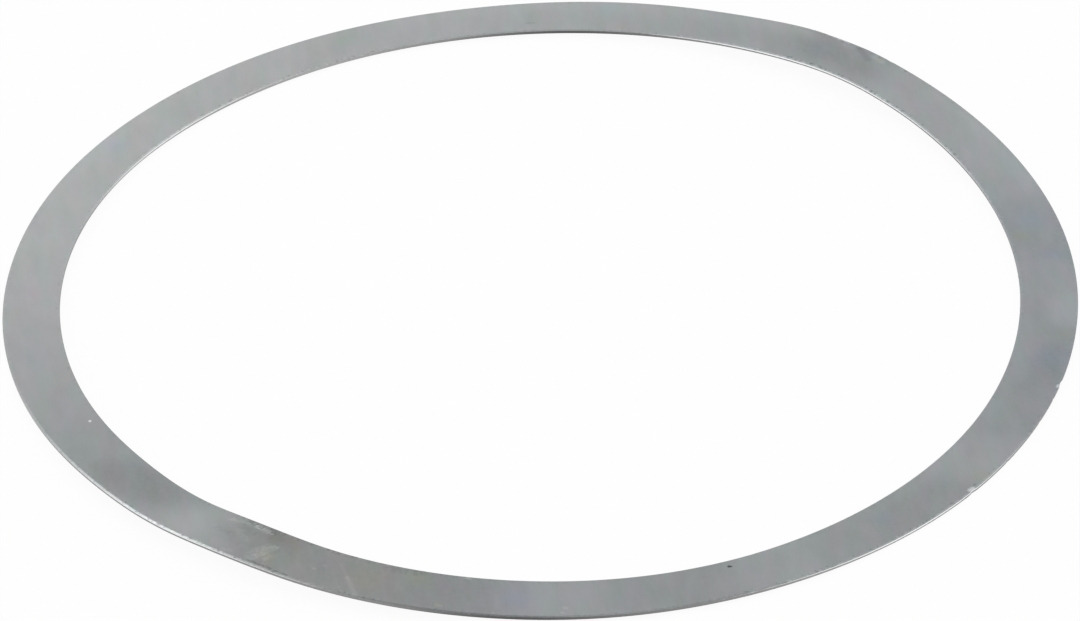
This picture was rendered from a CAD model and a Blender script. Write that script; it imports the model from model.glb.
"""The looks of a bent steel shim ring that lies on a white table.

The ring is one piece of rolled sheet. Its top and under sides have the mill's own finish, and its two
round edges are sheared: the rim is drawn down a little, then comes a bright burnished band, then a dull
torn band. Lengths are metres and angles are degrees unless a comment says otherwise. The angle round the
ring runs from +X, which is the photograph's right, towards +Y, which is away from the camera. An inset is
a distance inward from the outer edge.
"""
import math

import bpy
import numpy as np
from mathutils import Matrix, Vector


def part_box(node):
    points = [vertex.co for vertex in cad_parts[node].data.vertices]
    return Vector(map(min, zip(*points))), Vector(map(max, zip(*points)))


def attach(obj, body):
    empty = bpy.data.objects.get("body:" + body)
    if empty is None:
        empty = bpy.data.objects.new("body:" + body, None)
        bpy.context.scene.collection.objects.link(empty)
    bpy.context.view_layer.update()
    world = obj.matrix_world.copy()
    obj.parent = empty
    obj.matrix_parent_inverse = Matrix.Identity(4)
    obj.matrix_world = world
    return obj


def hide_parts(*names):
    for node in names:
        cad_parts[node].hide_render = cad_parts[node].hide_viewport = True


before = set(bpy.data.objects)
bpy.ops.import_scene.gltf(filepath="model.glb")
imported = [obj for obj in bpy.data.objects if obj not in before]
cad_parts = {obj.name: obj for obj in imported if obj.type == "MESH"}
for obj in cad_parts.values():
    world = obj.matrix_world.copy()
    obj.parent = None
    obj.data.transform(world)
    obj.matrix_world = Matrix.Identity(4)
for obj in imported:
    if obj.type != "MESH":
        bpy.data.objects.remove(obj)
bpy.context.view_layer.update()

MM = 0.001

low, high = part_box("shim_ring")

# The ring's own sizes

OUTER_RADIUS = (high.x - low.x) / 2
BAND_WIDTH = 7.5 * MM
BORE_RADIUS = OUTER_RADIUS - BAND_WIDTH
MIDDLE_RADIUS = OUTER_RADIUS - BAND_WIDTH / 2
GAUGE = 0.5 * MM
RISE = (high.z - low.z) - GAUGE

# The fold: one gentle bend across a diameter, with flat feet to each side of it.
# Its slope, in radians, is looked for between nothing and a steepest one.

FOLD_DIRECTION = 49
HALF_CREST = 6 * MM
FOOT_BEND_WIDTH = 16 * MM
FOOT_START = 64 * MM
STEEPEST_SLOPE = 0.2
HALVINGS = 60

# The band's own unevenness: a small lift and dish all round, and kinks from handling.
# A kink has the angle where it lies, its reach along the band, its lift, and the outer edge's rise over
# the middle.

BAND_LIFT = -0.22 * MM
BAND_DISH = -0.04 * MM
KINKS = (
    (166, 31, 0.72 * MM, -0.29 * MM),
    (284, 37, 0.38 * MM, 0.28 * MM),
    (353, 24.6, 0.54 * MM, 0.20 * MM),
    (78.5, 20.3, 0.12 * MM, 0.15 * MM),
    (226.8, 8.3, -0.60 * MM, 0.06 * MM),
    (56.3, 7.8, 0.24 * MM, 0.24 * MM),
    (112.6, 22.3, 0.28 * MM, -0.05 * MM),
    (235.6, 7.6, 0.27 * MM, -0.06 * MM),
)

# The sheared edge: the rim that the punch drew down, the torn band that leans back and the broken lower
# rim. The rims wander in radius, by sines with these counts round the ring.

ROLL_WIDTH = 0.30 * MM
ROLL_DEPTH = 0.06 * MM
BAND_TOP = GAUGE - ROLL_DEPTH
TEAR_SETBACK = 0.03 * MM
RIM_BREAK = 0.04 * MM
RIM_WAVER = 0.012 * MM
WAVER_COUNTS = (61, 97, 173, 263, 389, 521)
WAVER_SEEDS = {"outer": 3, "bore": 7}

# Small nicks in the outer edge: angle, reach along the edge and depth

NICKS = (
    (320.1, 0.45, 0.10 * MM),
    (341.5, 0.50, 0.14 * MM),
    (326.6, 0.20, 0.05 * MM),
    (334.4, 0.25, 0.05 * MM),
    (338.6, 0.20, 0.06 * MM),
    (57.0, 0.25, 0.05 * MM),
    (46.3, 0.30, 0.06 * MM),
)

# What changes round the ring is given as a level and then bumps, each with its angle, reach and height.

# How far down the wall the bright band reaches, as a share of the wall. The punch sat a little to one
# side, so the band is deep on one side and all but gone on another.

LEAST_BURNISH = 0.01
BURNISHED_SHARE = {
    "outer": (0.0, (226, 17, 0.36), (312, 15, 0.54), (265, 12, -0.30)),
    "bore": (0.0, (52, 28, 0.56), (143, 15, 0.40), (92, 18, -0.50)),
}

# The tone of the torn band below, from where it is fresh and dark to where it is smeared and pale

TORN_TONE = {
    "outer": (0.32, (267, 10, -0.19), (282, 10, -0.04), (301, 10, 0.06), (190, 14, 0.30)),
    "bore": (0.30, (86, 11, -0.17), (120, 15, 0.14), (150, 12, 0.20)),
}

# The tone of the drawn-down rim, over the flat's: rubbed bright in places and dull over the torn band

RIM_TONE = {
    "outer": (1.05, (224, 15, 1.15), (252, 8, -0.25), (266, 10, -0.50), (286, 11, -0.26), (316, 7, 0.15)),
    "bore": (1.05, (42, 22, 0.12), (88, 16, -0.35), (113, 12, -0.12), (143, 10, 0.22)),
}

# How much of the rim is ticked by small bruises

RIM_WEAR = {
    "outer": (0.3, (232, 16, 1.0), (302, 18, 0.7), (50, 10, 0.5)),
    "bore": (0.3, (46, 24, 1.0), (128, 22, 0.5), (245, 15, 0.6)),
}

# The top's tone, as a share of the steel's own, which also swings once round the ring

BROAD_TONE = (0.985, (150, 35, 0.09), (215, 42, -0.05))
PALEST_ANGLE = 130
TONE_SWING = 0.16

# How warm the top's grey is: olive where the ring is most worn, and bluer than elsewhere in three places

WARMTH = (0.55, (246, 13, 0.40), (140, 60, 0.25), (344, 14, -0.30), (10, 13, -0.30), (267, 5, -0.09))

# How far the top's grey leans from green to violet

VIOLET_LEAN = (0.0, (118, 14, 0.08), (184, 14, 0.12))

# The mesh: places round the ring, across the flat, over the drawn-down rim and down the torn band

RING_STEPS = 1440
TOP_COLUMNS = 11
UNDER_COLUMNS = 5
ROLL_POINTS = 8
TEAR_POINTS = 4

# Broad patches of tone on the top: angle, inset, reach along in degrees, reach across, lean, firmness of
# the border, and share of change. A patch with a lean of 1 lies one degree further on for each millimetre
# outward.

ALL_ACROSS = 30 * MM
MIDDLE = BAND_WIDTH / 2
LEAN = 1 / MM
TONES = (
    (10.5, MIDDLE, 6.6, ALL_ACROSS, 0.0, 4, -0.06),
    (20.5, 1.2 * MM, 4.5, 2.2 * MM, 0.0, 1, 0.07),
    (27, 2.6 * MM, 10, 6 * MM, 0.0, 1, 0.07),
    (29, 0.9 * MM, 11, 1.5 * MM, 0.0, 1, 0.06),
    (5, 6.6 * MM, 8, 1.5 * MM, 0.0, 1, 0.03),
    (0, 0.9 * MM, 3.5, 1.8 * MM, 0.0, 1, 0.05),
    (52.3, 3.2 * MM, 7.4, ALL_ACROSS, 0.0, 2, -0.18),
    (50, 7.0 * MM, 8, 1.7 * MM, 0.0, 1, 0.10),
    (55, 4.2 * MM, 3, 3 * MM, 0.4 * LEAN, 1, -0.08),
    (57.3, 0.9 * MM, 1.6, 1.2 * MM, 0.8 * LEAN, 1, 0.10),
    (52.1, 0.8 * MM, 1.0, 0.8 * MM, 0.8 * LEAN, 1, 0.07),
    (61.3, 4 * MM, 1.3, 4 * MM, 0.7 * LEAN, 1, -0.06),
    (66, 4.4 * MM, 3, 3 * MM, 0.0, 1, -0.03),
    (73, 5.2 * MM, 14, 3.5 * MM, 0.0, 1, -0.05),
    (84, 0.8 * MM, 45, 1.5 * MM, 0.0, 1, 0.05),
    (90.6, 4.6 * MM, 0.8, 2.4 * MM, 0.0, 1, -0.05),
    (114.6, 4.6 * MM, 1.1, 2.6 * MM, -0.3 * LEAN, 1, -0.06),
    (115, MIDDLE, 9, ALL_ACROSS, 0.0, 1, -0.02),
    (135.5, 5.9 * MM, 3, 1.2 * MM, -0.5 * LEAN, 1, -0.05),
    (150, 0.9 * MM, 8, 1.6 * MM, 0.0, 1, 0.05),
    (178, 1.2 * MM, 5, 2 * MM, 0.0, 1, -0.03),
    (187, MIDDLE, 9, ALL_ACROSS, 0.0, 1, -0.035),
    (210, MIDDLE, 19, ALL_ACROSS, 0.0, 1, -0.10),
    (219.5, 4.4 * MM, 6.0, 4 * MM, -0.43 * LEAN, 2, -0.15),
    (229.3, 3.0 * MM, 3.6, 6 * MM, -0.3 * LEAN, 1, 0.18),
    (234, 0.9 * MM, 2.5, 1.5 * MM, 0.0, 1, 0.10),
    (249, MIDDLE, 15.5, ALL_ACROSS, 0.0, 2, -0.13),
    (237.4, MIDDLE, 4.5, ALL_ACROSS, 0.0, 2, -0.08),
    (238.8, 6.3 * MM, 2.0, 1.4 * MM, 0.0, 1, -0.10),
    (244, 5.4 * MM, 6, 3 * MM, 0.0, 1, -0.04),
    (260.5, MIDDLE, 4, ALL_ACROSS, 0.0, 1, -0.035),
    (272.4, MIDDLE, 5.6, ALL_ACROSS, 0.0, 1, 0.085),
    (297.5, MIDDLE, 6.5, ALL_ACROSS, 0.0, 1, 0.12),
    (317, 6.8 * MM, 6, 1.2 * MM, 0.0, 1, 0.06),
    (325, MIDDLE, 5.2, ALL_ACROSS, 0.25 * LEAN, 2, 0.105),
    (344.5, 2.0 * MM, 5, 2.6 * MM, 0.0, 1, -0.11),
    (340, 6.8 * MM, 14, 1.4 * MM, 0.0, 1, 0.04),
    (354.5, 1.2 * MM, 3.2, 3 * MM, 0.0, 2, 0.11),
)

# Small marks on the top: start and end, each an angle and an inset, half width, and share of change

MARKS = (
    ((206.1, 6.03 * MM), (206.2, 6.00 * MM), 0.12 * MM, 1.30),
    ((244.7, 3.1 * MM), (244.9, 3.1 * MM), 0.14 * MM, 0.22),
    ((245.5, 4.2 * MM), (245.8, 4.2 * MM), 0.16 * MM, 0.12),
    ((247.1, 5.25 * MM), (248.8, 2.9 * MM), 0.18 * MM, 0.08),
    ((248.6, 3.2 * MM), (250.3, 0.5 * MM), 0.28 * MM, 0.12),
    ((258.8, 1.15 * MM), (259.2, 1.05 * MM), 0.24 * MM, 0.14),
    ((264.6, 0.55 * MM), (264.7, 0.50 * MM), 0.10 * MM, 0.18),
    ((271.6, 0.9 * MM), (271.7, 0.9 * MM), 0.13 * MM, 0.20),
    ((271.9, 1.9 * MM), (272.1, 1.8 * MM), 0.22 * MM, 0.13),
    ((290.8, 6.25 * MM), (291.0, 6.15 * MM), 0.16 * MM, -0.80),
    ((90.0, 5.35 * MM), (91.0, 5.25 * MM), 0.12 * MM, -0.15),
    ((319.9, 0.35 * MM), (320.3, 0.30 * MM), 0.25 * MM, 0.80),
    ((320.9, 0.60 * MM), (321.1, 0.55 * MM), 0.12 * MM, -0.20),
    ((340.4, 0.15 * MM), (340.7, 0.15 * MM), 0.16 * MM, 0.80),
    ((50.3, 0.45 * MM), (48.3, 1.80 * MM), 0.40 * MM, -0.13),
    ((46.9, 0.95 * MM), (47.9, 0.70 * MM), 0.42 * MM, 0.15),
    ((51.2, 0.90 * MM), (52.2, 0.80 * MM), 0.35 * MM, 0.06),
)

# Scuffs, made of ragged strokes: start and end, half width, direction of the strokes, their width, and
# share of change

SCUFFS = (
    ((238.2, 2.0 * MM), (239.3, 3.4 * MM), 1.10 * MM, 30, 0.80 * MM, 0.12),
    ((238.3, 2.4 * MM), (239.2, 4.0 * MM), 0.60 * MM, 50, 0.16 * MM, 0.15),
    ((238.0, 1.4 * MM), (239.6, 2.4 * MM), 0.60 * MM, 10, 0.18 * MM, 0.10),
    ((239.2, 4.3 * MM), (239.6, 4.5 * MM), 0.26 * MM, 30, 0.14 * MM, 0.30),
    ((239.4, 2.4 * MM), (239.9, 1.0 * MM), 0.40 * MM, 75, 0.16 * MM, 0.12),
    ((235.8, 6.8 * MM), (237.7, 6.45 * MM), 0.36 * MM, 10, 0.11 * MM, 0.55),
    ((232.4, 6.2 * MM), (235.6, 6.9 * MM), 0.26 * MM, 10, 0.12 * MM, 0.20),
    ((235.0, 7.2 * MM), (238.2, 6.8 * MM), 0.42 * MM, 60, 0.12 * MM, -0.26),
    ((234.0, 5.9 * MM), (236.2, 5.4 * MM), 0.60 * MM, 20, 0.20 * MM, -0.09),
    ((234.6, 4.8 * MM), (236.1, 3.7 * MM), 0.35 * MM, 20, 0.16 * MM, 0.08),
    ((232.0, 4.0 * MM), (234.0, 3.8 * MM), 0.40 * MM, 20, 0.18 * MM, -0.08),
    ((234.7, 0.7 * MM), (235.8, 1.0 * MM), 0.26 * MM, 10, 0.14 * MM, 0.12),
    ((238.0, 0.60 * MM), (242.8, 0.35 * MM), 0.14 * MM, 10, 0.14 * MM, -0.34),
    ((260.8, 7.2 * MM), (261.5, 7.2 * MM), 0.25 * MM, 10, 0.15 * MM, 0.30),
    ((252.0, 6.6 * MM), (256.0, 6.9 * MM), 0.50 * MM, 97, 0.25 * MM, -0.12),
    ((52.0, 0.2 * MM), (55.0, 0.1 * MM), 0.18 * MM, 140, 0.16 * MM, 0.50),
)

# Thin stains and temper colours: angle, inset, reach, and what the stain does to red, green and blue

BROWN = (1.035, 0.99, 0.94, 1)
OLIVE = (1.015, 1.005, 0.90, 1)
GREEN = (0.96, 1.02, 0.96, 1)
VIOLET = (1.035, 0.98, 1.03, 1)
SLATE = (0.96, 0.995, 1.08, 1)
TEAL = (0.94, 1.02, 1.03, 1)
STAINS = (
    (240.3, 1.4 * MM, 1.1 * MM, BROWN),
    (240.6, 6.6 * MM, 1.1 * MM, OLIVE),
    (241.5, 5.6 * MM, 0.8 * MM, OLIVE),
    (238.9, 6.0 * MM, 2.4 * MM, BROWN),
    (239.2, 2.8 * MM, 2.2 * MM, BROWN),
    (239.8, 2.4 * MM, 1.1 * MM, BROWN),
    (241.8, 3.6 * MM, 2.6 * MM, GREEN),
    (245.5, 4.6 * MM, 3.0 * MM, VIOLET),
    (250.5, 4.0 * MM, 4.5 * MM, BROWN),
    (255.8, 5.8 * MM, 2.2 * MM, OLIVE),
    (259.0, 5.0 * MM, 2.4 * MM, VIOLET),
    (262.0, 3.0 * MM, 1.6 * MM, GREEN),
    (258.9, 1.2 * MM, 0.9 * MM, OLIVE),
    (267.0, 3.6 * MM, 3.6 * MM, SLATE),
    (42.5, 3.2 * MM, 2.6 * MM, VIOLET),
    (37.6, 4.4 * MM, 2.6 * MM, VIOLET),
    (49.5, 1.2 * MM, 2.0 * MM, VIOLET),
    (47.3, 0.8 * MM, 1.2 * MM, BROWN),
    (54.0, 3.6 * MM, 3.2 * MM, TEAL),
    (57.0, 5.2 * MM, 1.8 * MM, VIOLET),
    (81.5, 1.8 * MM, 2.6 * MM, TEAL),
    (79.3, 6.3 * MM, 1.2 * MM, OLIVE),
    (12.0, 3.6 * MM, 4.5 * MM, SLATE),
    (5.0, 2.4 * MM, 2.6 * MM, SLATE),
    (9.0, 5.8 * MM, 1.8 * MM, OLIVE),
    (345.5, 2.2 * MM, 4.5 * MM, SLATE),
    (350.0, 1.0 * MM, 1.8 * MM, BROWN),
    (322.6, 1.0 * MM, 1.8 * MM, BROWN),
    (310.0, 4.3 * MM, 2.4 * MM, SLATE),
    (113.0, 2.6 * MM, 2.6 * MM, GREEN),
    (147.0, 2.2 * MM, 3.0 * MM, SLATE),
    (178.0, 4.0 * MM, 4.0 * MM, VIOLET),
)

# Noise swings about a middle value, and the finest has more detail and roughness

NOISE_MIDDLE = 0.5
FINE = (3.0, 0.6)

# The rolled face. Clouds, blotches, freckles and grain make its tone uneven, from the largest to the
# finest: their sizes, how much longer than wide they are along the rolling, and their shares of the tone,
# to which worn places add theirs. A pair of values is where a soft border starts and where it ends.

ROLLING_DIRECTION = 97
CLOUD_SIZE = 5 * MM
CLOUD_LENGTH = 2.5
CLOUD_SHARE = 0.16
BLOTCH_SIZE = 1.6 * MM
BLOTCH_SHARE = 0.11
WORN_BLOTCH_SHARE = 0.08
FRECKLE_SIZE = 0.7 * MM
FRECKLE_SHARE = 0.03
WORN_FRECKLE_SHARE = 0.09
GRAIN_SIZE = 0.16 * MM
GRAIN_LENGTH = 25
GRAIN_SHARE = 0.08
WORN_TONES = (0.92, 0.78)
FACING_UP = (0.0, 0.5)

# Its greys, and how they change over it

GREEN_STEEL = (0.282, 0.311, 0.312, 1)
VIOLET_STEEL = (0.300, 0.305, 0.320, 1)
HUE_SIZE = 2.6 * MM
HUE_LENGTH = 3
HUE_BORDER = (0.36, 0.64)
COOL_CAST = (0.985, 1.0, 1.035, 1)
WARM_CAST = (1.02, 1.0, 0.955, 1)
CAST_SIZE = 3.4 * MM
CAST_LENGTH = 2.5

# Its marks and scuffs. A line's border is given in half widths, and strokes in their own width. Strokes
# gather a little towards the middle of their scuff.

RAGGED_SIZE = 0.35 * MM
LINE_BORDER = (2.0, 0.4)
STROKE_SPACING = 2.5
STROKE_LENGTH = 1.6
STROKE_GATHERING = 0.15
STROKE_BORDER = (0.52, 0.74)
SCUFF_BORDER = (0.0, 0.4)

# Its rim, measured inward from either edge, and the bruises beside it

RIM_BORDER = (0.36 * MM, 0.14 * MM)
BRUISED_BORDER = (0.75 * MM, 0.35 * MM)
BRUISE_SIZE = 0.55 * MM
PALE_BRUISES = (0.56, 0.66)
PALE_CHANGE = 0.18
DARK_BRUISES = (0.45, 0.33)
DARK_CHANGE = 0.32

# Its polish and relief

FACE_ROUGHNESS = 0.33
CLOUD_ROUGHNESS = 0.08
GRAIN_ROUGHNESS = 0.10
MARK_ROUGHNESS = 0.15
GRAIN_RELIEF = 0.5
FRECKLE_RELIEF = 0.6
BLOTCH_RELIEF = 0.4
FACE_RELIEF = 0.02 * MM
FACE_RELIEF_STRENGTH = 0.10

# The sheared edge: scores from the punch, crumbs where it tore, and a border that wanders. The scores
# stand tall because they follow only a small share of the height.

SCORE_SIZE = 0.11 * MM
SCORE_HEIGHT_SHARE = 0.06
CRUMB_SIZE = 0.06 * MM
WANDER_SIZE = 0.5 * MM
WANDER_SHARE = 0.16
CRUMBLED_BORDER = 0.06
TEAR_BORDER = (-0.02, 0.06)
SCORED_BURNISH = (0.86, 0.87, 0.88, 1)
CLEAN_BURNISH = (0.95, 0.96, 0.97, 1)
SCORE_RANGE = (-0.5, 0.5)
TORN_CONTRAST = 0.9
TORN_ROUGHNESS = 0.55
BURNISHED_ROUGHNESS = 0.25
SCORE_RELIEF = 0.4
EDGE_RELIEF = 0.03 * MM
EDGE_RELIEF_STRENGTH = 0.35

# The photograph's camera, for a frame 1080 pixels wide

PHOTO_WIDTH = 1080
FOCAL_PIXELS = 6910.6
SENSOR_WIDTH = 36.0
CAMERA_DISTANCE = 0.90163
CAMERA_ELEVATION = 34.924
CAMERA_ROLL = 1.152
AIM = Vector((-0.03 * MM, -2.95 * MM, 0.0))

# The room: the table, the share of its own shading that shows, and the light

TABLE_HALF_WIDTH = 4.0
TABLE_COLOUR = 0.95
TABLE_SHADE = 0.06
ROOM_LIGHT = 0.7
LAMP_WATTS = 7.0
LAMP_SIZE = (2.6, 2.2)
LAMP_PLACE = Vector((-0.3, 0.1, 1.2))


def slope_of_fold():
    """The flanks' slope, for which crest arc, flank and foot arc together climb the rise.

    An arc that turns by the slope a over a width w climbs w tan(a / 2), and the flank between the two arcs
    climbs its own width times tan(a). The slope is found by halving an interval."""
    flank = FOOT_START - HALF_CREST - FOOT_BEND_WIDTH
    shallow, steep = 0.0, STEEPEST_SLOPE
    for _ in range(HALVINGS):
        middle = (shallow + steep) / 2
        climb = (HALF_CREST + FOOT_BEND_WIDTH) * math.tan(middle / 2) + flank * math.tan(middle)
        if climb < RISE:
            shallow = middle
        else:
            steep = middle
    return (shallow + steep) / 2


SLOPE = slope_of_fold()


def fold_height(x, y):
    """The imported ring's own underside, as a height over the table.

    It depends only on the distance u from the fold's line: an arc under the crest, a straight flank, an
    arc that ends flat on the table, and zero from there on."""
    turn = math.radians(FOLD_DIRECTION)
    u = np.abs(y * math.cos(turn) - x * math.sin(turn))
    crest_radius = HALF_CREST / math.sin(SLOPE)
    foot_radius = FOOT_BEND_WIDTH / math.sin(SLOPE)
    flank_end = FOOT_START - FOOT_BEND_WIDTH
    to_foot = np.clip(FOOT_START - u, 0, FOOT_BEND_WIDTH)
    foot = foot_radius - np.sqrt(foot_radius**2 - to_foot**2)
    flank = np.clip(flank_end - u, 0, flank_end - HALF_CREST) * math.tan(SLOPE)
    to_crest = np.clip(u, 0, HALF_CREST)
    end_of_arc = math.sqrt(crest_radius**2 - HALF_CREST**2)
    crest = np.sqrt(crest_radius**2 - to_crest**2) - end_of_arc
    return foot + flank + crest


def past(angle, centre):
    """How far an angle lies past a centre, from -180 to 180."""
    return (angle - centre + 180) % 360 - 180


def bell(angle, centre, reach):
    """A bump of height 1 at the centre that falls off as exp(-(d / reach)^2), with d the angle between."""
    return np.exp(-((past(angle, centre) / reach) ** 2))


def round_the_ring(angle, law):
    """What changes round the ring, at each angle: its level, plus each bump's height times its bell."""
    level, *bumps = law
    return level + sum(height * bell(angle, centre, reach) for centre, reach, height in bumps)


def on_both_walls(angle, laws, near_bore):
    """What changes round the ring, by the bore's law near the bore and by the outer wall's elsewhere."""
    return np.where(near_bore, round_the_ring(angle, laws["bore"]), round_the_ring(angle, laws["outer"]))


def burnished_share(angle, wall):
    """How far down a wall its bright band reaches, which is never quite nothing and at most all of it."""
    return np.clip(round_the_ring(angle, BURNISHED_SHARE[wall]), LEAST_BURNISH, 1)


def band_end(share):
    """The height over the underside at which the bright band gives way to the torn one."""
    return BAND_TOP - share * (BAND_TOP - RIM_BREAK)


def underside(x, y):
    """The fold's height, plus the band's lift, dish and kinks, never under the table or over the crest.

    A kink adds its lift times a bell in the angle, and its tilt times the same bell and the place across
    the band, which runs from -1 at the bore to 1 at the outer edge."""
    angle = np.degrees(np.arctan2(y, x))
    across = (np.hypot(x, y) - MIDDLE_RADIUS) / (BAND_WIDTH / 2)
    height = fold_height(x, y) + BAND_LIFT + BAND_DISH * across
    for centre, reach, lift, tilt in KINKS:
        height += bell(angle, centre, reach) * (lift + tilt * across)
    return np.clip(height, 0, RISE)


def rim_waver(angle, seed):
    """How far a sheared rim wanders in radius: the mean of sines of chosen counts and seeded phases."""
    dice = np.random.default_rng(seed)
    wander = np.zeros_like(angle)
    for count in WAVER_COUNTS:
        wander += np.sin(np.radians(angle) * count + dice.uniform(0, 2 * math.pi)) / len(WAVER_COUNTS)
    return RIM_WAVER * wander


def wall_profile(angle, wall):
    """One edge of the section, from the flat of the top, over the drawn-down rim and down the wall.

    Gives each point's setback from the wall's own line and its height over the underside, for each angle:
    a quarter of an ellipse, the upright burnished band, the torn band that leans back, and a broken lower
    rim. The setback also wavers from angle to angle."""
    turn = np.linspace(0, math.pi / 2, ROLL_POINTS)[:, None]
    down = np.linspace(0, 1, TEAR_POINTS + 1)[1:, None]
    none = np.zeros_like(angle)
    tear_top = band_end(burnished_share(angle, wall))
    back = [
        ROLL_WIDTH * (1 - np.sin(turn)) + none,
        none[None],
        TEAR_SETBACK * np.sqrt(down) + none,
        none[None] + TEAR_SETBACK + RIM_BREAK,
    ]
    height = [
        GAUGE - ROLL_DEPTH * (1 - np.cos(turn)) + none,
        tear_top[None],
        tear_top + (RIM_BREAK - tear_top) * down,
        none[None],
    ]
    return np.concatenate(back) + np.abs(rim_waver(angle, WAVER_SEEDS[wall])), np.concatenate(height)


def between(first, last, columns, angle):
    """Radii spaced evenly between a first and a last, without these two, for each angle."""
    share = np.linspace(0, 1, columns + 2)[1:-1, None]
    return first + share * (last - first) + 0 * angle


def ring_section(angle):
    """The section's radius and height over the underside at each angle, and which of its strips are wall.

    The section runs over the top from the bore to the outer edge, down the outer wall, back along the
    underside and up the bore's wall."""
    outer_back, outer_height = wall_profile(angle, "outer")
    bore_back, bore_height = wall_profile(angle, "bore")
    for centre, reach, depth in NICKS:
        outer_back = outer_back + depth * bell(angle, centre, reach)
    top = between(BORE_RADIUS + ROLL_WIDTH, OUTER_RADIUS - ROLL_WIDTH, TOP_COLUMNS, angle)
    lower_rim = TEAR_SETBACK + RIM_BREAK + RIM_WAVER
    below = between(OUTER_RADIUS - lower_rim, BORE_RADIUS + lower_rim, UNDER_COLUMNS, angle)
    radius = np.concatenate([top, OUTER_RADIUS - outer_back, below, (BORE_RADIUS + bore_back)[::-1]])
    height = np.concatenate([top * 0 + GAUGE, outer_height, below * 0, bore_height[::-1]])
    is_wall = np.zeros(len(radius), bool)
    wall_strips = len(outer_back) - ROLL_POINTS
    for first in (len(top) + ROLL_POINTS - 1, len(top) + len(outer_back) + len(below)):
        is_wall[first : first + wall_strips] = True
    return radius, height, is_wall


def grid_faces(rows, columns):
    """Quads of a grid that is closed both ways, such as a ring of sections."""
    row = np.arange(rows)[:, None]
    column = np.arange(columns)[None, :]
    after = (row + 1) % rows * columns
    beside = (column + 1) % columns
    corners = (row * columns + column, row * columns + beside, after + beside, after + column)
    return np.stack(corners, -1).reshape(-1, 4)


def add_mesh(name, points, faces, finishes):
    """A new object at the origin, with its place in its mesh, smooth faces and its finishes in slots."""
    mesh = bpy.data.meshes.new(name)
    mesh.from_pydata(points.tolist(), [], faces.tolist())
    mesh.polygons.foreach_set("use_smooth", np.ones(len(faces), bool))
    for finish in finishes:
        mesh.materials.append(finish)
    piece = bpy.data.objects.new(name, mesh)
    bpy.context.scene.collection.objects.link(piece)
    return piece


def add_attribute(piece, name, values):
    """One number for each point of a grid, given by section place and then by step round the ring."""
    attribute = piece.data.attributes.new(name, "FLOAT", "POINT")
    attribute.data.foreach_set("value", values.T.ravel().astype(np.float32))


def broad_tone(angle, inset):
    """The top's tone, as a share of the steel's own: paler to the back left, with patches of change.

    A patch adds its change times exp(-q^firmness), where q is the sum of the squares of the distances
    along and across the band, each over its reach."""
    tone = round_the_ring(angle, BROAD_TONE) + TONE_SWING * np.cos(np.radians(angle - PALEST_ANGLE))
    for centre, place, along, across, lean, firmness, change in TONES:
        outward = place - inset
        further = past(angle, centre + lean * outward)
        tone += change * np.exp(-(((further / along) ** 2 + (outward / across) ** 2) ** firmness))
    return tone


def build_ring():
    """The ring, with its sheared walls in the second slot."""
    angle = np.linspace(0, 360, RING_STEPS, endpoint=False)
    radius, height, is_wall = ring_section(angle)
    x = radius * np.cos(np.radians(angle))
    y = radius * np.sin(np.radians(angle))
    z = underside(x, y) + height
    points = np.stack([x, y, z], -1).transpose(1, 0, 2).reshape(-1, 3)
    faces = grid_faces(RING_STEPS, len(radius))
    ring = add_mesh("shim_ring_sheet", points, faces, [rolled_face(), sheared_edge()])
    ring.data.polygons.foreach_set("material_index", np.tile(is_wall, RING_STEPS).astype(np.int32))

    near_bore = radius < MIDDLE_RADIUS
    around = angle + 0 * radius
    share = np.where(near_bore, burnished_share(angle, "bore"), burnished_share(angle, "outer"))
    add_attribute(ring, "over_tear", (height - band_end(share)) / GAUGE)
    add_attribute(ring, "torn_tone", on_both_walls(angle, TORN_TONE, near_bore))
    add_attribute(ring, "rim_tone", on_both_walls(angle, RIM_TONE, near_bore))
    add_attribute(ring, "rim_wear", on_both_walls(angle, RIM_WEAR, near_bore))
    add_attribute(ring, "broad_tone", broad_tone(around, OUTER_RADIUS - radius))
    add_attribute(ring, "warmth", round_the_ring(around, WARMTH))
    add_attribute(ring, "violet", round_the_ring(around, VIOLET_LEAN))
    ring.data.update()
    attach(ring, "root")
    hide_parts("shim_ring")


class Signal:
    """A socket that gives a value. Arithmetic on it adds Math nodes to its tree."""

    def __init__(self, socket):
        self.socket = socket
        self.tree = socket.id_data

    def math(self, operation, *values):
        """A Math node on values, of which this signal is one."""
        return Nodes(self.tree).add("ShaderNodeMath", {"operation": operation}, dict(enumerate(values)))

    def __add__(self, other):
        return self.math("ADD", self, other)

    __radd__ = __add__

    def __mul__(self, other):
        return self.math("MULTIPLY", self, other)

    __rmul__ = __mul__

    def __sub__(self, other):
        return self.math("SUBTRACT", self, other)

    def __rsub__(self, other):
        return self.math("SUBTRACT", other, self)

    def __truediv__(self, other):
        return self.math("DIVIDE", self, other)

    def largest(self, other):
        return self.math("MAXIMUM", self, other)

    def smallest(self, other):
        return self.math("MINIMUM", self, other)

    def step(self, start, end):
        """0 up to start and 1 from end on, with a smooth climb between. Start may be the larger one."""
        sockets = {"Value": self, "From Min": start, "From Max": end}
        return Nodes(self.tree).add("ShaderNodeMapRange", {"interpolation_type": "SMOOTHSTEP"}, sockets)


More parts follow.
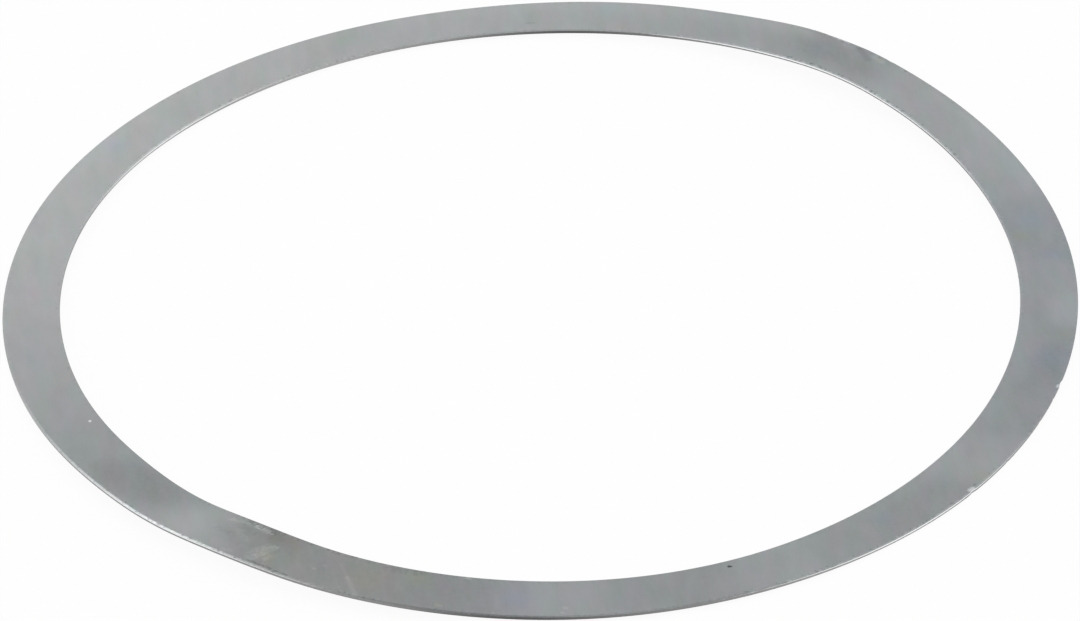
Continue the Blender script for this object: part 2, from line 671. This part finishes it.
class Nodes:
    """Adds nodes to one tree: the type, its settings first, then its sockets' values or links."""

    def __init__(self, tree):
        self.tree = tree

    def add(self, kind, settings=None, sockets=None, output=0):
        """The new node's output, by number or name, as a signal. Sockets are given the same way."""
        node = self.tree.nodes.new(kind)
        for name, value in (settings or {}).items():
            setattr(node, name, value)
        for key, value in (sockets or {}).items():
            socket = self.live(node.inputs, key)
            if isinstance(value, Signal):
                self.tree.links.new(value.socket, socket)
            else:
                socket.default_value = value
        return Signal(self.live(node.outputs, output))

    def live(self, sockets, key):
        """One of the sockets that a node's settings leave in use, by number or name."""
        used = [socket for socket in sockets if socket.enabled]
        return used[key] if isinstance(key, int) else next(s for s in used if s.name == key)

    def vector(self, operation, *values, output=0):
        """A Vector Math node."""
        return self.add("ShaderNodeVectorMath", {"operation": operation}, dict(enumerate(values)), output)

    def blend(self, share, start, end, way="MIX"):
        """A Mix node on colours: start where share is 0; end, or end laid on start in some way, where 1."""
        settings = {"data_type": "RGBA", "blend_type": way}
        return self.add("ShaderNodeMix", settings, {"Factor": share, "A": start, "B": end})

    def noise(self, place, size, detail=2.0, rough=0.5, output=0):
        """Noise about its middle value, whose lumps are about a given size."""
        sockets = {"Vector": place, "Scale": 1 / size, "Detail": detail, "Roughness": rough}
        return self.add("ShaderNodeTexNoise", None, sockets, output)

    def swing(self, place, size, detail=2.0, rough=0.5):
        """The same noise about zero."""
        return self.noise(place, size, detail, rough) - NOISE_MIDDLE

    def attribute(self, name):
        """One of the mesh's own numbers."""
        return self.add("ShaderNodeAttribute", {"attribute_name": name}, output="Fac")

    def neutral(self, tone):
        """The grey of a tone."""
        return self.add("ShaderNodeCombineColor", None, {"Red": tone, "Green": tone, "Blue": tone})

    def along(self, place, direction, stretch):
        """The place seen along a direction in the plan, so that lumps come out that much longer than wide."""
        turn = math.radians(direction)
        forward = self.vector("DOT_PRODUCT", place, (math.cos(turn), math.sin(turn), 0), output="Value")
        sideways = self.vector("DOT_PRODUCT", place, (-math.sin(turn), math.cos(turn), 0), output="Value")
        return self.add("ShaderNodeCombineXYZ", None, {"X": forward / stretch, "Y": sideways})

    def relief(self, height, distance, strength):
        """A Bump node."""
        sockets = {"Strength": strength, "Distance": distance, "Height": height}
        return self.add("ShaderNodeBump", None, sockets)


def new_finish(name):
    """An empty material and its nodes."""
    finish = bpy.data.materials.new(name)
    finish.use_nodes = True
    finish.node_tree.nodes.clear()
    return finish, Nodes(finish.node_tree)


def show(tree, kind, surface):
    """Joins a shader to its tree's output."""
    output = tree.nodes.new(kind)
    tree.links.new(surface.socket, output.inputs["Surface"])


def grey(value):
    """A neutral colour."""
    return (value, value, value, 1)


def on_plan(angle, inset):
    """A place on the ring, seen from above."""
    turn = math.radians(angle)
    radius = OUTER_RADIUS - inset
    return (radius * math.cos(turn), radius * math.sin(turn), 0)


def near_line(nodes, place, start, end, half_width):
    """1 close to a line from start to end and 0 well off it, with a soft border between.

    The nearest point of the line is start + t (end - start), where t is the share of the way along, from
    0 to 1."""
    way = Vector(end) - Vector(start)
    from_start = nodes.vector("SUBTRACT", place, start)
    share = nodes.vector("DOT_PRODUCT", from_start, tuple(way / way.length_squared), output="Value")
    reached = nodes.vector("SCALE", tuple(way), share.largest(0.0).smallest(1.0))
    apart = nodes.vector("DISTANCE", from_start, reached, output="Value")
    outer_border, inner_border = LINE_BORDER
    return apart.step(half_width * outer_border, half_width * inner_border)


def near_place(nodes, place, centre, reach):
    """1 at a place and 0 from its reach on."""
    return nodes.vector("DISTANCE", place, centre, output="Value").step(reach, 0.0)


def strokes_near(nodes, place, start, end, half_width, direction, width):
    """Ragged strokes that lie one way, near a line from start to end, and thin out from it."""
    inside = near_line(nodes, place, start, end, half_width)
    strokes = nodes.noise(nodes.along(place, direction, STROKE_LENGTH), width * STROKE_SPACING, *FINE)
    gathered = (strokes + inside * STROKE_GATHERING).step(*STROKE_BORDER)
    return gathered * inside.step(*SCUFF_BORDER)


def top_marks(nodes, plan, shaken):
    """How much paler or darker the marks and scuffs make the top, all together."""
    change = 0.0
    for start, end, half_width, share in MARKS:
        change = change + near_line(nodes, shaken, on_plan(*start), on_plan(*end), half_width) * share
    for start, end, half_width, direction, width, share in SCUFFS:
        strokes = strokes_near(nodes, plan, on_plan(*start), on_plan(*end), half_width, direction, width)
        change = change + strokes * share
    return change


def rim_change(nodes, plan):
    """What the rim's own tone and the bruises beside it do to the face's tone, as a factor."""
    radius = nodes.vector("LENGTH", plan, output="Value")
    to_rim = (OUTER_RADIUS - radius).smallest(radius - BORE_RADIUS)
    beside_rim = to_rim.step(*BRUISED_BORDER) * nodes.attribute("rim_wear")
    bruises = nodes.noise(plan, BRUISE_SIZE)
    bruised = bruises.step(*PALE_BRUISES) * PALE_CHANGE - bruises.step(*DARK_BRUISES) * DARK_CHANGE
    rim = to_rim.step(*RIM_BORDER) * (nodes.attribute("rim_tone") - 1)
    return (1 + beside_rim * bruised) * (1 + rim)


def steel_colour(nodes, plan, shaken, top):
    """The face's grey, which turns from green to violet and from cool to warm, with its stains."""
    hue = nodes.noise(nodes.along(plan, ROLLING_DIRECTION, HUE_LENGTH), HUE_SIZE)
    violet = (hue + nodes.attribute("violet")).step(*HUE_BORDER)
    clouds = nodes.swing(nodes.along(plan, ROLLING_DIRECTION, CAST_LENGTH), CAST_SIZE)
    cast = nodes.blend(nodes.attribute("warmth") + clouds, COOL_CAST, WARM_CAST)
    colour = nodes.blend(1.0, nodes.blend(violet, GREEN_STEEL, VIOLET_STEEL), cast, "MULTIPLY")
    for angle, inset, reach, stain in STAINS:
        share = near_place(nodes, shaken, on_plan(angle, inset), reach) * top
        colour = nodes.blend(share, colour, stain, "MULTIPLY")
    return colour


def rolled_face():
    """The sheet's own finish: smooth cold-rolled steel with soft clouds, a fine grain, marks and stains."""
    finish, nodes = new_finish("rolled_face")
    place = nodes.add("ShaderNodeTexCoord", output="Object")
    plan = nodes.vector("MULTIPLY", place, (1, 1, 0))
    ragged = nodes.noise(plan, RAGGED_SIZE, output="Color")
    ragged = nodes.vector("SUBTRACT", ragged, (NOISE_MIDDLE, NOISE_MIDDLE, NOISE_MIDDLE))
    shaken = nodes.vector("ADD", plan, nodes.vector("MULTIPLY", ragged, (RAGGED_SIZE, RAGGED_SIZE, 0)))
    facing = nodes.add("ShaderNodeNewGeometry", output="Normal")
    top = nodes.vector("DOT_PRODUCT", facing, (0, 0, 1), output="Value").step(*FACING_UP)
    broad = nodes.attribute("broad_tone")
    worn = broad.step(*WORN_TONES)

    along_rolling = nodes.along(plan, ROLLING_DIRECTION, CLOUD_LENGTH)
    clouds = nodes.swing(along_rolling, CLOUD_SIZE)
    blotches = nodes.swing(along_rolling, BLOTCH_SIZE)
    freckles = nodes.swing(plan, FRECKLE_SIZE)
    grain = nodes.swing(nodes.along(plan, ROLLING_DIRECTION, GRAIN_LENGTH), GRAIN_SIZE, *FINE)
    mottle = clouds * CLOUD_SHARE + grain * GRAIN_SHARE
    mottle = mottle + blotches * (BLOTCH_SHARE + worn * WORN_BLOTCH_SHARE)
    mottle = mottle + freckles * (FRECKLE_SHARE + worn * WORN_FRECKLE_SHARE)

    marks = top_marks(nodes, plan, shaken) * top
    tone = broad * (1 + mottle) * (1 + marks) * rim_change(nodes, plan)
    colour = steel_colour(nodes, plan, shaken, top)
    relief = grain * GRAIN_RELIEF + freckles * FRECKLE_RELIEF + blotches * BLOTCH_RELIEF
    roughness = FACE_ROUGHNESS + clouds * CLOUD_ROUGHNESS + grain * GRAIN_ROUGHNESS + marks * MARK_ROUGHNESS
    steel = nodes.add(
        "ShaderNodeBsdfPrincipled",
        None,
        {
            "Base Color": nodes.blend(1.0, colour, nodes.neutral(tone), "MULTIPLY"),
            "Metallic": 1.0,
            "Roughness": roughness,
            "Normal": nodes.relief(relief, FACE_RELIEF, FACE_RELIEF_STRENGTH),
        },
    )
    show(finish.node_tree, "ShaderNodeOutputMaterial", steel)
    return finish


def sheared_edge():
    """The cut wall: a burnished band scored by the punch above, and torn metal below."""
    finish, nodes = new_finish("sheared_edge")
    place = nodes.add("ShaderNodeTexCoord", output="Object")
    upright = nodes.vector("MULTIPLY", place, (1, 1, SCORE_HEIGHT_SHARE))
    scores = nodes.swing(upright, SCORE_SIZE)
    crumbs = nodes.swing(place, CRUMB_SIZE, *FINE)
    wander = nodes.swing(upright, WANDER_SIZE) * WANDER_SHARE + crumbs * CRUMBLED_BORDER
    burnish = (nodes.attribute("over_tear") + wander).step(*TEAR_BORDER)
    bright = nodes.blend(scores.step(*SCORE_RANGE), SCORED_BURNISH, CLEAN_BURNISH)
    torn = nodes.neutral(nodes.attribute("torn_tone") * (1 + crumbs * TORN_CONTRAST))
    relief = burnish * scores * SCORE_RELIEF + (1 - burnish) * crumbs
    steel = nodes.add(
        "ShaderNodeBsdfPrincipled",
        None,
        {
            "Base Color": nodes.blend(burnish, torn, bright),
            "Metallic": 1.0,
            "Roughness": TORN_ROUGHNESS - (TORN_ROUGHNESS - BURNISHED_ROUGHNESS) * burnish,
            "Normal": nodes.relief(relief, EDGE_RELIEF, EDGE_RELIEF_STRENGTH),
        },
    )
    show(finish.node_tree, "ShaderNodeOutputMaterial", steel)
    return finish


def shown_directly(nodes):
    """1 for what the camera sees, straight or in metal or glass, and 0 for what only gives light."""
    camera_ray = nodes.add("ShaderNodeLightPath", output="Is Camera Ray")
    rays = camera_ray.socket.node.outputs
    return (camera_ray + Signal(rays["Is Glossy Ray"]) + Signal(rays["Is Transmission Ray"])).smallest(1.0)


def build_floor():
    """A plain white table. What is seen of it is mostly its own white, so the ring's shadow stays faint."""
    half = TABLE_HALF_WIDTH
    points = np.array([(-half, -half, 0), (half, -half, 0), (half, half, 0), (-half, half, 0)])
    finish, nodes = new_finish("white_table")
    lit = nodes.add("ShaderNodeBsdfDiffuse", None, {"Color": grey(TABLE_COLOUR)})
    white = nodes.add("ShaderNodeEmission", None, {"Color": grey(1.0), "Strength": 1.0})
    share = shown_directly(nodes) * (1 - TABLE_SHADE)
    table = nodes.add("ShaderNodeMixShader", None, {0: share, 1: lit, 2: white})
    show(finish.node_tree, "ShaderNodeOutputMaterial", table)
    floor = add_mesh("table_top", points, np.array([[0, 1, 2, 3]]), [finish])


def build_world():
    """White to the eye and in the metal, and a softer white as a light."""
    world = bpy.data.worlds.new("white_room")
    bpy.context.scene.world = world
    world.use_nodes = True
    world.node_tree.nodes.clear()
    nodes = Nodes(world.node_tree)
    light = nodes.add("ShaderNodeBackground", None, {"Color": grey(1.0), "Strength": ROOM_LIGHT})
    shown = nodes.add("ShaderNodeBackground", None, {"Color": grey(1.0), "Strength": 1.0})
    room = nodes.add("ShaderNodeMixShader", None, {0: shown_directly(nodes), 1: light, 2: shown})
    show(world.node_tree, "ShaderNodeOutputWorld", room)


def build_light():
    """One broad soft box overhead, turned to the ring."""
    lamp = bpy.data.lights.new("soft_box", "AREA")
    lamp.shape = "RECTANGLE"
    lamp.size, lamp.size_y = LAMP_SIZE
    lamp.energy = LAMP_WATTS
    box = bpy.data.objects.new("soft_box", lamp)
    box.location = LAMP_PLACE
    box.rotation_euler = (-LAMP_PLACE).to_track_quat("-Z", "Y").to_euler()
    bpy.context.scene.collection.objects.link(box)


def build_camera():
    """The photograph's view: a long lens that looks down on the table, turned a little about its axis."""
    elevation = math.radians(CAMERA_ELEVATION)
    roll = math.radians(CAMERA_ROLL)
    place = Vector((0, -math.cos(elevation), math.sin(elevation))) * CAMERA_DISTANCE
    forward = (AIM - place).normalized()
    level_right = forward.cross(Vector((0, 0, 1))).normalized()
    level_up = level_right.cross(forward)
    right = level_right * math.cos(roll) - level_up * math.sin(roll)
    up = level_right * math.sin(roll) + level_up * math.cos(roll)
    lens = bpy.data.cameras.new("photo_camera")
    lens.sensor_width = SENSOR_WIDTH
    lens.lens = SENSOR_WIDTH * FOCAL_PIXELS / PHOTO_WIDTH
    camera = bpy.data.objects.new("photo_camera", lens)
    camera.matrix_world = Matrix.Translation(place) @ Matrix((right, up, -forward)).transposed().to_4x4()
    bpy.context.scene.collection.objects.link(camera)
    bpy.context.scene.camera = camera


bpy.context.scene.view_settings.view_transform = "Standard"
build_ring()
build_floor()
build_world()
build_light()
build_camera()
